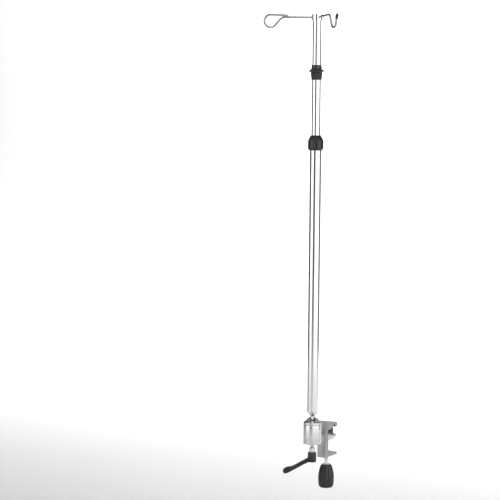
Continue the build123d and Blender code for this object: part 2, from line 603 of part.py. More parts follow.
def loop_hook():
    """Arm that drops into a round loop, whose end comes back beside the arm."""
    points = [on_pole(WIRE_INSIDE, HOOK_Z, LOOP_ANGLE), on_pole(71.5, HOOK_Z, LOOP_ANGLE),
              on_pole(76, HOOK_Z - 1.6, LOOP_ANGLE, 0.6)]
    for step in range(LOOP_STEPS + 1):
        part = step / LOOP_STEPS
        turn = radians(LOOP_START - LOOP_SWEEP * part)
        distance = LOOP_CENTRE - LOOP_RADIUS * sin(turn)
        height = LOOP_CENTRE_Z - LOOP_RADIUS * cos(turn)
        points.append(on_pole(distance, height, LOOP_ANGLE, 1.5 + (LOOP_SHIFT - 1.5) * part))
    points.append(on_pole(64, LOOP_CENTRE_Z + LOOP_RADIUS - 1.5, LOOP_ANGLE, LOOP_SHIFT))
    return bent_wire(points, WIRE_RADIUS)


def open_hook():
    """Arm that drops into an open bow, whose end stands up again."""
    corners = [(distance, HOOK_Z + height, 0) for distance, height in OPEN_ROUTE]
    with BuildLine() as line:
        FilletPolyline(*corners, radius=OPEN_BENDS)
    path = Plane.XZ * line.line
    start = Plane(origin=(WIRE_INSIDE, 0, HOOK_Z), z_dir=path % 0)
    wire = sweep(start * Circle(WIRE_RADIUS), path=path)
    return Pos(0, POLE_Y, 0) * Rot(0, 0, OPEN_ANGLE) * wire


def hook_tip():
    """Round-ended sleeve pushed onto the open hook's end."""
    (low_x, low_z), (end_x, end_z) = OPEN_ROUTE[-2:]
    end = Plane(origin=(end_x, 0, HOOK_Z + end_z), z_dir=(end_x - low_x, 0, end_z - low_z))
    length = TIP_LENGTH - TIP_RADIUS
    sleeve = Pos(0, 0, length / 2 - TIP_DEPTH) * Cylinder(TIP_RADIUS, length)
    sleeve += Pos(0, 0, length - TIP_DEPTH) * Sphere(TIP_RADIUS)
    sleeve -= Pos(0, 0, -TIP_DEPTH) * Cylinder(WIRE_RADIUS + FIT, 2 * (TIP_DEPTH + FIT))
    return Pos(0, POLE_Y, 0) * Rot(0, 0, OPEN_ANGLE) * (end * sleeve)


NODES = {
    "clamp_body": clamp_body, "jaw_insert": jaw_insert, "spindle_bush": spindle_bush,
    "moving_jaw": moving_jaw, "jaw_pin": jaw_pin, "clamp_spindle": clamp_spindle,
    "grip_barrel": grip_barrel, "grip_insert": grip_insert, "grip_cap": grip_cap,
    "ball_housing": ball_housing, "housing_cap": housing_cap, "neck_bush": neck_bush,
    "housing_boss": housing_boss, "boss_screws": boss_screws,
    "base_plug": base_plug, "pressure_piston": pressure_piston, "disc_springs": disc_springs,
    "lower_seat": lower_seat, "upper_seat": upper_seat, "ball_stud": ball_stud,
    "lock_bolt": lock_bolt, "lever_insert": lever_insert, "lever_screw": lever_screw,
    "lever_spring": lever_spring, "lock_lever": lock_lever, "cone_foot": cone_foot,
    "foot_pin": foot_pin, "lower_tube": lower_tube, "threaded_sleeve": threaded_sleeve,
    "collet": collet, "clamp_nut": clamp_nut, "upper_tube": upper_tube,
    "tube_end_plug": tube_end_plug, "guide_bush": guide_bush, "stop_ring": stop_ring,
    "collar_sleeve": collar_sleeve, "collar_cap": collar_cap, "collar_ring": collar_ring,
    "hook_head": hook_head, "head_screw": head_screw, "loop_hook": loop_hook,
    "open_hook": open_hook, "hook_tip": hook_tip,
}

os.makedirs("parts", exist_ok=True)
for name, make in NODES.items():
    export_step(make(), f"parts/{name}.step")
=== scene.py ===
import json
from math import atan2, cos, degrees, hypot, pi, radians, sin, sqrt, tan

import bmesh
import bpy
from mathutils import Matrix, Vector


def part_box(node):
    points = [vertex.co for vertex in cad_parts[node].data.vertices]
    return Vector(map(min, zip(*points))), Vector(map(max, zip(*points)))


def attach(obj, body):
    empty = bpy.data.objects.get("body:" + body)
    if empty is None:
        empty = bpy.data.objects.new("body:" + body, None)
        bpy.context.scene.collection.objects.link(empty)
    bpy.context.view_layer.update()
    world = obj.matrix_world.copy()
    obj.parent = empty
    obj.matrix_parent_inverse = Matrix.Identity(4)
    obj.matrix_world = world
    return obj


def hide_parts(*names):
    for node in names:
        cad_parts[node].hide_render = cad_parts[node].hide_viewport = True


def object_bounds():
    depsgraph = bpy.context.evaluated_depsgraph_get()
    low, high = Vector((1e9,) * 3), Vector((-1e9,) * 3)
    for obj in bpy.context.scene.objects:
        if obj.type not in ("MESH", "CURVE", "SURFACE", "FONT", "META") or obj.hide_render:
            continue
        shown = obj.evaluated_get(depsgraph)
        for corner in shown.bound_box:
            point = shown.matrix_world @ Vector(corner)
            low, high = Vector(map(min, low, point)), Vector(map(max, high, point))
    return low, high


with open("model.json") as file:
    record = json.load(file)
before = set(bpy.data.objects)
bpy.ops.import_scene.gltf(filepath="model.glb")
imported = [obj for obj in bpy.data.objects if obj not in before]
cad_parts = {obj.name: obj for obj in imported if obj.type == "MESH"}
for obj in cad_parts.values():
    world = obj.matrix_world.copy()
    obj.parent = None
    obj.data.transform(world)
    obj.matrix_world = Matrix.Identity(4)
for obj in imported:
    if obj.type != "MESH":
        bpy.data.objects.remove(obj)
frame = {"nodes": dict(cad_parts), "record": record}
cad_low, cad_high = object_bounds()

# Looks of a rail-mounted infusion pole. Lengths in this script are millimetres until a mesh is made.
MM = 0.001
SLOT_OF = {part["node"]: part["material_slot"] for part in frame["record"]["subparts"]}
BODY_OF = {node: body for body, nodes in frame["record"]["behaviour"]["bodies"].items() for node in nodes}


class Extent:
    """Box of a CAD node in millimetres."""

    def __init__(self, node):
        low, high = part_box(node)
        self.x0, self.y0, self.z0 = (value / MM for value in low)
        self.x1, self.y1, self.z1 = (value / MM for value in high)
        self.radius = (self.x1 - self.x0) / 2
        self.y = (self.y0 + self.y1) / 2


POLE_Y = Extent("lower_tube").y
SPINDLE_Y = Extent("clamp_spindle").y
BALL_Z = Extent("ball_stud").z0 + Extent("ball_stud").radius


# ---- outlines -----------------------------------------------------------------------------
def rounded(corners, closed=False, steps=5):
    """Outline from (a, b) or (a, b, radius) corners: a corner with a radius becomes an arc."""
    points = []
    count = len(corners)
    for index, corner in enumerate(corners):
        radius = corner[2] if len(corner) > 2 else 0.0
        if radius <= 0 or (not closed and index in (0, count - 1)):
            points.append((corner[0], corner[1]))
            continue
        here = Vector(corner[:2])
        before = Vector(corners[index - 1][:2]) - here
        after = Vector(corners[(index + 1) % count][:2]) - here
        half = before.angle(after) / 2
        reach = min(radius / tan(half), before.length * 0.49, after.length * 0.49)
        radius = reach * tan(half)
        middle = here + (before.normalized() + after.normalized()).normalized() * radius / sin(half)
        first = here + before.normalized() * reach - middle
        last = here + after.normalized() * reach - middle
        turn = first.angle_signed(last)
        for step in range(steps + 1):
            angle = -turn * step / steps
            points.append((middle.x + first.x * cos(angle) - first.y * sin(angle),
                           middle.y + first.x * sin(angle) + first.y * cos(angle)))
    return points


def arc(centre, radius, start, end, steps):
    """Points on an arc between two angles in degrees."""
    angles = [radians(start + (end - start) * step / steps) for step in range(steps + 1)]
    return [(centre[0] + radius * cos(angle), centre[1] + radius * sin(angle)) for angle in angles]


def on_pole(distance, height, angle, side=0.0):
    """Point at a distance from the pole's axis towards an angle, with a shift to one side."""
    turn = radians(angle)
    return Vector((distance * cos(turn) - side * sin(turn),
                   POLE_Y + distance * sin(turn) + side * cos(turn), height))


# ---- meshes -------------------------------------------------------------------------------
def new_object(name, bm):
    mesh = bpy.data.meshes.new(name)
    bmesh.ops.recalc_face_normals(bm, faces=bm.faces)
    bm.to_mesh(mesh)
    bm.free()
    obj = bpy.data.objects.new(name, mesh)
    bpy.context.scene.collection.objects.link(obj)
    return obj


def lathe(name, outline, y, around=96, closed=False, radius_at=None, x=0.0):
    """Surface of revolution about the vertical line at (x, y); closed joins the outline's ends."""
    bm = bmesh.new()
    rings = []
    for radius, z in outline:
        if radius < 1e-6:
            rings.append([bm.verts.new((x * MM, y * MM, z * MM))])
            continue
        ring = []
        for index in range(around):
            angle = 2 * pi * index / around
            r = radius_at(angle, radius, z) if radius_at else radius
            ring.append(bm.verts.new(((x + r * cos(angle)) * MM, (y + r * sin(angle)) * MM, z * MM)))
        rings.append(ring)
    following = rings[1:] + (rings[:1] if closed else [])
    for low, high in zip(rings, following):
        for index in range(around):
            other = (index + 1) % around
            corners = [low[index % len(low)], low[other % len(low)], high[other % len(high)],
                       high[index % len(high)]]
            unique = list(dict.fromkeys(corners))
            if len(unique) > 2:
                bm.faces.new(unique)
    return new_object(name, bm)


def prism(name, outline, width, plane="YZ"):
    """Flat outline given thickness: YZ outlines are centred on X = 0, XY ones on Z = 0."""
    bm = bmesh.new()
    sides = []
    for offset in (-width / 2, width / 2):
        if plane == "YZ":
            verts = [bm.verts.new((offset * MM, a * MM, b * MM)) for a, b in outline]
        else:
            verts = [bm.verts.new((a * MM, b * MM, offset * MM)) for a, b in outline]
        sides.append(verts)
        bm.faces.new(verts)
    count = len(outline)
    for index in range(count):
        other = (index + 1) % count
        bm.faces.new((sides[0][index], sides[0][other], sides[1][other], sides[1][index]))
    return new_object(name, bm)


def along(name, points, radius_of, around=24):
    """Round bar along points in space; radius_of gives its radius at each point's number."""
    bm = bmesh.new()
    rings = []
    side = None
    for index, point in enumerate(points):
        ahead = points[min(index + 1, len(points) - 1)] - points[max(index - 1, 0)]
        ahead.normalize()
        if side is None:
            side = ahead.orthogonal().normalized()
        side = (side - ahead * side.dot(ahead)).normalized()
        up = ahead.cross(side)
        ring = []
        for step in range(around):
            angle = 2 * pi * step / around
            spot = point + (side * cos(angle) + up * sin(angle)) * radius_of(index)
            ring.append(bm.verts.new(spot * MM))
        rings.append(ring)
    for low, high in zip(rings, rings[1:]):
        for step in range(around):
            other = (step + 1) % around
            bm.faces.new((low[step], low[other], high[other], high[step]))
    bm.faces.new(rings[0])
    bm.faces.new(rings[-1])
    return new_object(name, bm)


def wire(name, path, radius, around=24, round_start=False):
    """Bent wire along a dense path, with a rounded end."""
    steps = 6
    points = list(path)
    radii = [radius] * len(points)
    direction = (points[-1] - points[-2]).normalized()
    tip = points[-1]
    for step in range(1, steps + 1):
        angle = pi / 2 * step / steps
        points.append(tip + direction * radius * sin(angle))
        radii.append(max(radius * cos(angle), radius * 0.05))
    if round_start:
        direction = (points[0] - points[1]).normalized()
        start = points[0]
        for step in range(1, steps + 1):
            angle = pi / 2 * step / steps
            points.insert(0, start + direction * radius * sin(angle))
            radii.insert(0, max(radius * cos(angle), radius * 0.05))
    return along(name, points, lambda index: radii[index], around)


def smooth_path(points, per_span=10):
    """Dense points of a smooth curve through the given ones."""
    path = []
    for index in range(len(points) - 1):
        before = points[max(index - 1, 0)]
        start, end = points[index], points[index + 1]
        after = points[min(index + 2, len(points) - 1)]
        for step in range(per_span):
            t = step / per_span
            path.append(0.5 * (2 * start + (end - before) * t
                               + (2 * before - 5 * start + 4 * end - after) * t ** 2
                               + (3 * start - before - 3 * end + after) * t ** 3))
    path.append(points[-1].copy())
    return path


def bar(name, radius, length, centre, direction, around=48):
    """Cylinder about a line along a direction, used as a cutter or a pin."""
    half = Vector(direction).normalized() * length / 2
    return along(name, [Vector(centre) - half, Vector(centre) + half], lambda index: radius, around)


def settle(obj, cutters=(), added=(), voxel=None, smooth=0, bevel=None):
    """Applies cuts, unions, a remesh and a bevel to the object's mesh."""
    for other in added:
        union = obj.modifiers.new("union", "BOOLEAN")
        union.operation = "UNION"
        union.solver = "EXACT"
        union.object = other
    if voxel:
        remesh = obj.modifiers.new("remesh", "REMESH")
        remesh.mode = "VOXEL"
        remesh.voxel_size = voxel * MM
        relax = obj.modifiers.new("relax", "SMOOTH")
        relax.factor = 0.5
        relax.iterations = smooth
    for other in cutters:
        cut = obj.modifiers.new("cut", "BOOLEAN")
        cut.operation = "DIFFERENCE"
        cut.solver = "EXACT"
        cut.object = other
    if bevel:
        edge = obj.modifiers.new("edge", "BEVEL")
        edge.width = bevel * MM
        edge.segments = 3
        edge.limit_method = "ANGLE"
        edge.angle_limit = radians(32)
        edge.harden_normals = False
    bpy.context.view_layer.update()
    result = bpy.data.meshes.new_from_object(obj.evaluated_get(bpy.context.evaluated_depsgraph_get()))
    obj.modifiers.clear()
    obj.data = result
    for other in (*cutters, *added):
        bpy.data.objects.remove(other)
    return obj


def place(obj, node, material=None, sharp=32, replaced=()):
    """Gives a piece its shading, material and body, and hides the CAD node that it stands for."""
    obj.data.shade_smooth()
    obj.data.set_sharp_from_angle(angle=radians(sharp))
    obj.data.materials.clear()
    obj.data.materials.append(material or MATERIALS[SLOT_OF[node]])
    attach(obj, BODY_OF[node])
    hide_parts(node, *replaced)
    return obj


# ---- materials ----------------------------------------------------------------------------
class Nodes:
    """Small helper that builds one material's node tree."""

    def __init__(self, name):
        self.material = bpy.data.materials.new(name)
        self.material.use_nodes = True
        self.tree = self.material.node_tree
        self.shader = self.tree.nodes["Principled BSDF"]
        self.place = self.new("ShaderNodeTexCoord").outputs["Object"]

    def new(self, kind, **values):
        node = self.tree.nodes.new(kind)
        for key, value in values.items():
            if hasattr(node, key):
                setattr(node, key, value)
            else:
                node.inputs[key].default_value = value
        return node

    def link(self, source, target):
        self.tree.links.new(source, target)

    def stretched(self, scale):
        mapping = self.new("ShaderNodeMapping")
        mapping.inputs["Scale"].default_value = scale
        self.link(self.place, mapping.inputs["Vector"])
        return mapping.outputs["Vector"]

    def noise(self, scale, detail=3.0, stretch=(1, 1, 1), distortion=0.0):
        texture = self.new("ShaderNodeTexNoise", Scale=scale, Detail=detail, Distortion=distortion)
        self.link(self.stretched(stretch), texture.inputs["Vector"])
        return texture.outputs["Fac"]

    def ranged(self, source, low, high, out_low, out_high):
        node = self.new("ShaderNodeMapRange")
        for key, value in zip(("From Min", "From Max", "To Min", "To Max"), (low, high, out_low, out_high)):
            node.inputs[key].default_value = value
        self.link(source, node.inputs["Value"])
        return node.outputs["Result"]

    def mixed(self, factor, first, second):
        node = self.new("ShaderNodeMix", data_type="RGBA")
        self.link(factor, node.inputs[0])
        for socket, colour in ((node.inputs[6], first), (node.inputs[7], second)):
            if isinstance(colour, tuple):
                socket.default_value = (*colour, 1)
            else:
                self.link(colour, socket)
        return node.outputs[2]

    def math(self, operation, first, second):
        node = self.new("ShaderNodeMath", operation=operation)
        for socket, value in zip(node.inputs, (first, second)):
            if isinstance(value, (int, float)):
                socket.default_value = value
            else:
                self.link(value, socket)
        return node.outputs[0]

    def bump(self, height, strength, distance_mm, normal=None):
        node = self.new("ShaderNodeBump")
        node.inputs["Strength"].default_value = strength
        node.inputs["Distance"].default_value = distance_mm * MM
        self.link(height, node.inputs["Height"])
        if normal:
            self.link(normal, node.inputs["Normal"])
        return node.outputs["Normal"]

    def edges(self, low=0.52, high=0.60):
        """1 on convex edges, 0 elsewhere."""
        geometry = self.new("ShaderNodeNewGeometry")
        return self.ranged(geometry.outputs["Pointiness"], low, high, 0.0, 1.0)


def metal(name, colour, rough, grain, grain_stretch, grain_depth, anisotropic=0.0):
    """Metal with directional grain, faint handling marks and slightly brighter edges."""
    n = Nodes(name)
    streak = n.noise(grain, 4.0, grain_stretch)
    cloud = n.noise(28.0, 4.0, (1, 1, 0.5), 0.6)
    fine = n.noise(420.0, 2.0)
    darker = tuple(value * 0.86 for value in colour)
    brighter = tuple(min(value * 1.06, 1.0) for value in colour)
    toned = n.mixed(n.ranged(streak, 0.3, 0.7, 0.0, 1.0), darker, brighter)
    smudged = n.mixed(n.ranged(cloud, 0.42, 0.72, 0.0, 0.35), toned, darker)
    worn = n.mixed(n.math("MULTIPLY", n.edges(), n.ranged(fine, 0.35, 0.65, 0.2, 0.8)), smudged,
                   tuple(min(value * 1.12, 1.0) for value in colour))
    n.link(worn, n.shader.inputs["Base Color"])
    base = n.ranged(streak, 0.25, 0.75, rough[0], rough[1])
    patch = n.ranged(cloud, 0.4, 0.75, 0.0, (rough[1] - rough[0]) * 0.8)
    n.link(n.math("ADD", base, patch), n.shader.inputs["Roughness"])
    n.link(n.bump(streak, 0.35, grain_depth), n.shader.inputs["Normal"])
    n.shader.inputs["Metallic"].default_value = 1.0
    n.shader.inputs["Anisotropic"].default_value = anisotropic
    return n.material


def plastic(name, colour, rough, grain=1500.0, depth=0.05, specular=0.5):
    """Moulded plastic or rubber: fine grain, faint clouding, rubbed edges and dust in the grain."""
    n = Nodes(name)
    texture = n.noise(grain, 2.0)
    cloud = n.noise(60.0, 5.0, (1, 1, 1), 0.4)
    lighter = tuple(value * 1.7 + 0.012 for value in colour)
    rubbed = tuple(value * 2.4 + 0.03 for value in colour)
    toned = n.mixed(n.ranged(cloud, 0.35, 0.7, 0.0, 0.7), colour, lighter)
    speckled = n.mixed(n.ranged(texture, 0.6, 0.8, 0.0, 0.35), toned, lighter)
    worn = n.mixed(n.math("MULTIPLY", n.edges(), n.ranged(cloud, 0.4, 0.65, 0.1, 0.7)), speckled, rubbed)
    n.link(worn, n.shader.inputs["Base Color"])
    base = n.ranged(cloud, 0.3, 0.7, rough[0], rough[1])
    n.link(n.math("SUBTRACT", base, n.ranged(n.edges(), 0.0, 1.0, 0.0, 0.08)), n.shader.inputs["Roughness"])
    n.link(n.bump(texture, 0.5, depth), n.shader.inputs["Normal"])
    n.shader.inputs["Specular IOR Level"].default_value = specular
    return n.material


MATERIALS = {
    "tube_steel": metal("tube_steel", (0.90, 0.90, 0.89), (0.09, 0.17), 900.0, (1, 1, 0.012), 0.004),
    "satin_steel": metal("satin_steel", (0.80, 0.80, 0.79), (0.20, 0.30), 1300.0, (0.05, 0.05, 1), 0.010),
    "clamp_metal": metal("clamp_metal", (0.50, 0.50, 0.49), (0.38, 0.52), 900.0, (0.25, 1, 1), 0.018),
    "plated_steel": metal("plated_steel", (0.70, 0.70, 0.69), (0.28, 0.40), 700.0, (1, 1, 1), 0.010),
    "wire_steel": metal("wire_steel", (0.40, 0.40, 0.39), (0.20, 0.30), 900.0, (1, 1, 1), 0.006),
    "brass_bush": metal("brass_bush", (0.78, 0.62, 0.33), (0.22, 0.34), 1300.0, (0.05, 0.05, 1), 0.010),
    "black_plastic": plastic("black_plastic", (0.010, 0.010, 0.011), (0.27, 0.36), 1400.0, 0.04, 0.5),
    "black_gloss": plastic("black_gloss", (0.012, 0.012, 0.013), (0.16, 0.26), 900.0, 0.015, 0.6),
    "black_rubber": plastic("black_rubber", (0.020, 0.020, 0.021), (0.56, 0.68), 1900.0, 0.05, 0.4),
    "bearing_plastic": plastic("bearing_plastic", (0.66, 0.66, 0.62), (0.30, 0.42), 1100.0, 0.02, 0.5),
}


# ---- clamp --------------------------------------------------------------------------------
def clamp_pieces():
    body, jaw, insert = Extent("clamp_body"), Extent("moving_jaw"), Extent("jaw_insert")
    boss, screws = Extent("housing_boss"), Extent("boss_screws")
    web_back, seat, roof = insert.y0, insert.y1, insert.z1 - 3.7
    width = body.x1 - body.x0
    outline = rounded([
        (body.y0, body.z0, 1.2), (body.y0, body.z1, 1.2), (body.y1, body.z1 - 10.0, 2.4),
        (body.y1, -6.3, 1.6), (-seat, -6.3, 0.8), (-seat, 0), (seat, 0), (seat, -5.3, 1.0),
        (-12.5, roof, 2.0), (web_back, roof, 1.2), (web_back, -54.6, 3.0), (body.y1, -64.5, 2.2),
        (body.y1, body.z0, 2.2)], closed=True, steps=4)
    heights = [screws.z0 + 3.5, screws.z1 - 3.5]
    cutters = [bar("cut", 3.7, 8, (0, web_back, height), (0, 1, 0)) for height in heights]
    cutters.append(bar("cut", Extent("spindle_bush").radius + 0.05, 60, (0, SPINDLE_Y, body.z0), (0, 0, 1)))
    piece = settle(prism("clamp_body_skin", outline, width), cutters, bevel=0.55)
    place(piece, "clamp_body")

    outline = rounded([
        (web_back, roof - 0.05), (-12.5, roof - 0.05, 1.5), (seat, insert.z1, 0.8),
        (seat, insert.z0 + 0.6, 0.8), (seat - 3, insert.z0, 0.8), (web_back, -15.4)], closed=True, steps=3)
    place(settle(prism("jaw_insert_skin", outline, insert.x1 - insert.x0), bevel=0.5), "jaw_insert")

    outline = rounded([
        (jaw.y0, jaw.z0, 1.6), (jaw.y0, jaw.z1, 1.0), (jaw.y0 + 1.5, jaw.z1, 1.4),
        (seat - 3.2, -22.8, 1.4), (seat, -22.8, 0.8), (seat, -25), (-seat, -25), (-seat, -22.0, 0.8),
        (jaw.y1, -22.0, 2.0), (jaw.y1, -28.5, 2.4), (-2, jaw.z0, 3.0)], closed=True, steps=4)
    cutters = [bar("cut", 3.1, 13, (0, SPINDLE_Y, jaw.z0), (0, 0, 1))]
    piece = settle(prism("moving_jaw_skin", outline, jaw.x1 - jaw.x0), cutters, bevel=0.7)
    place(piece, "moving_jaw")

    half = (boss.x1 - boss.x0) / 2
    block = prism("housing_boss_skin", [(boss.y0 - 6, boss.z0), (boss.y0 - 6, boss.z1), (boss.y1, boss.z1),
                                        (boss.y1, boss.z0)], 2 * half)
    cutters = [bar("cut", Extent("ball_housing").radius + 0.05, 60, (0, POLE_Y, boss.z0), (0, 0, 1), 128)]
    place(settle(block, cutters, bevel=0.6), "housing_boss")


def threaded(angle, radius, z, pitch, depth):
    """Radius of a single-start thread at an angle and height."""
    phase = (z / pitch - angle / (2 * pi)) % 1.0
    return radius - depth * min(1.0, abs(2 * phase - 1) * 1.25)


def spindle_pieces():
    spindle, grip = Extent("clamp_spindle"), Extent("grip_barrel")
    bush, cap, inset = Extent("spindle_bush"), Extent("grip_cap"), Extent("grip_insert")
    radius, top = spindle.radius, -33.3
    pitch, depth, rows = 1.25, 0.62, 10
    thread_low, thread_high = grip.z1 + 12.0, top - 2.0
    outline = [(0, spindle.z0), (radius, spindle.z0), (radius, thread_low)]
    count = int((thread_high - thread_low) / pitch * rows)
    outline += [(radius, thread_low + pitch * step / rows) for step in range(1, count)]
    outline += [(radius - depth, thread_high), (radius - depth, top - 0.6), (3.0, top), (3.0, -30.8),
                (1.9, -30.8), (1.9, -28.2), (3.0, -28.2), (3.0, spindle.z1 + 0.5), (2.5, spindle.z1),
                (0, spindle.z1)]

    def thread(angle, r, z):
        if thread_low < z < thread_high:
            return threaded(angle, r, z, pitch, depth)
        return r

    place(lathe("clamp_spindle_skin", outline, SPINDLE_Y, 64, radius_at=thread), "clamp_spindle", sharp=50)

    outline = rounded([(radius + 0.12, bush.z0), (bush.radius, bush.z0, 0.5), (bush.radius, bush.z1, 0.8),
                       (radius + 0.12, bush.z1, 0.6)], closed=True, steps=3)
    place(lathe("spindle_bush_skin", outline, SPINDLE_Y, 64, closed=True), "spindle_bush")

    length = grip.z1 - grip.z0
    widest, top_radius, low_radius = grip.radius, 10.9, 15.6
    belly = 0.42 * length

    def barrel_radius(height):
        """Radius of the grip at a height above its lower end."""
        if height > belly:
            rise = (height - belly) / (length - belly)
            return widest - (widest - top_radius) * rise ** 1.9
        drop = (belly - height) / belly
        return widest - (widest - low_radius) * drop ** 2.2

    rows = 40
    sides = [(barrel_radius(length * step / rows), grip.z0 + length * step / rows)
             for step in range(3, rows - 1)]
    outline = [(cap.radius + 0.06, grip.z0 + 3), (cap.radius + 0.06, grip.z0 + 0.3),
               (cap.radius + 0.5, grip.z0)]
    outline += arc((barrel_radius(0) - 3.4, grip.z0 + 3.4), 3.4, -90, -12, 6)
    outline += sides[1:]
    outline += arc((barrel_radius(length) - 2.2, grip.z1 - 1.9), 1.9, 20, 90, 5)
    outline += [(inset.radius + 0.05, grip.z1), (inset.radius + 0.05, grip.z1 - 2), (radius, grip.z1 - 2),
                (radius, grip.z0 + 3)]

    def fluted(angle, r, z):
        height = (z - grip.z0) / length
        if r < top_radius - 1.5:
            return r
        fade = max(0.0, min(1.0, height / 0.12)) * max(0.0, min(1.0, (1.0 - height) / 0.12))
        wave = max(0.0, cos(8 * angle)) ** 1.6
        return r - 1.15 * wave * fade ** 0.7

    barrel = lathe("grip_barrel_skin", outline, SPINDLE_Y, 192, closed=True, radius_at=fluted)
    place(barrel, "grip_barrel", sharp=40)
    outline = rounded([(0, cap.z0), (cap.radius - 0.1, cap.z0, 0.7), (cap.radius, cap.z1)], steps=4)
    outline.append((0, cap.z1))
    place(lathe("grip_cap_skin", outline, SPINDLE_Y, 64), "grip_cap")


# ---- ball joint ---------------------------------------------------------------------------
SLOT_ANGLE = -57.0


def ball_joint_pieces():
    housing, cap, plug, stud, foot, bush = (Extent(node) for node in (
        "ball_housing", "housing_cap", "base_plug", "ball_stud", "cone_foot", "neck_bush"))
    wall = plug.radius + 0.05
    step, step_radius, groove = cap.z0 - 0.3, housing.radius - 2.0, housing.radius - 2.6
    lip = sqrt(wall ** 2 - (housing.z1 - BALL_Z) ** 2)
    outline = rounded([
        (wall, housing.z0), (housing.radius, housing.z0, 1.0), (housing.radius, step, 0.3),
        (step_radius, step), (step_radius, step + 0.5), (groove, step + 0.5), (groove, step + 1.8),
        (step_radius, step + 1.8), (step_radius, housing.z1, 0.2), (lip, housing.z1)], steps=5)
    top = degrees(atan2(housing.z1 - BALL_Z, lip))
    outline += arc((0, BALL_Z), wall, top, 0, 20)[1:]
    place(lathe("ball_housing_skin", outline, POLE_Y, 160, closed=True), "ball_housing")

    shoulder, rim, mouth, thick = cap.z0 + 4.5, 7.4, 6.2, 2.4
    skirt, inner_lip, under = step_radius + 0.3, groove + 0.3, housing.z1 + 0.3
    outline = rounded([
        (skirt, cap.z0), (cap.radius, cap.z0, 0.3), (cap.radius, shoulder, 2.0), (rim, cap.z1, 0.7),
        (mouth, cap.z1, 0.3), (mouth, cap.z1 - thick), (skirt - 1, under), (skirt, under),
        (skirt, step + 1.5), (inner_lip, step + 1.5), (inner_lip, step + 0.8), (skirt, step + 0.8)],
        closed=True, steps=5)
    shell = lathe("housing_cap_skin", outline, POLE_Y, 160, closed=True)
    width, low = 10.2, 17.6
    middle = on_pole(17, low + width / 2, SLOT_ANGLE)
    direction = on_pole(1, 0, SLOT_ANGLE) - on_pole(0, 0, SLOT_ANGLE)
    slot = bar("cut", width / 2, 34, middle, direction, 48)
    upper = prism("cut", [(-17, -width / 2), (17, -width / 2), (17, width / 2), (-17, width / 2)], 20, "XY")
    place_of_upper = Matrix.Translation(on_pole(17, low + width / 2 + 10, SLOT_ANGLE) * MM)
    upper.matrix_world = place_of_upper @ Matrix.Rotation(radians(SLOT_ANGLE), 4, "Z")
    place(settle(shell, [slot, upper], bevel=0.4), "housing_cap")

    bore = 3.9
    outline = rounded([(bore, bush.z0), (bush.radius, bush.z0, 0.4), (bush.radius, bush.z1, 0.4),
                       (bore, bush.z1)], closed=True, steps=3)
    place(lathe("neck_bush_skin", outline, POLE_Y, 72, closed=True), "neck_bush")

    neck, ball = 3.8, stud.radius
    top = degrees(atan2(sqrt(ball ** 2 - neck ** 2), neck))
    outline = [(0, stud.z0)] + arc((0, BALL_Z), ball, -90, top, 40)[1:]
    outline += [(neck, foot.z0 + 0.4), (neck, stud.z1 - 1), (neck - 0.7, stud.z1), (0, stud.z1)]
    place(lathe("ball_stud_skin", outline, POLE_Y, 96), "ball_stud")

    tube = Extent("lower_tube")
    outline = rounded([
        (3.95, foot.z0), (4.9, foot.z0, 0.2), (5.3, foot.z0 + 0.8, 0.8),
        (tube.radius - 0.6, tube.z0 - 1.6, 2.4), (tube.radius, tube.z0, 0.4),
        (tube.radius - 1.55, tube.z0), (tube.radius - 1.55, foot.z1, 0.6),
        (3.95, foot.z1)], closed=True, steps=6)
    place(lathe("cone_foot_skin", outline, POLE_Y, 128, closed=True), "cone_foot")


# ---- locking lever ------------------------------------------------------------------------
LEVER_ANGLE = 213.0


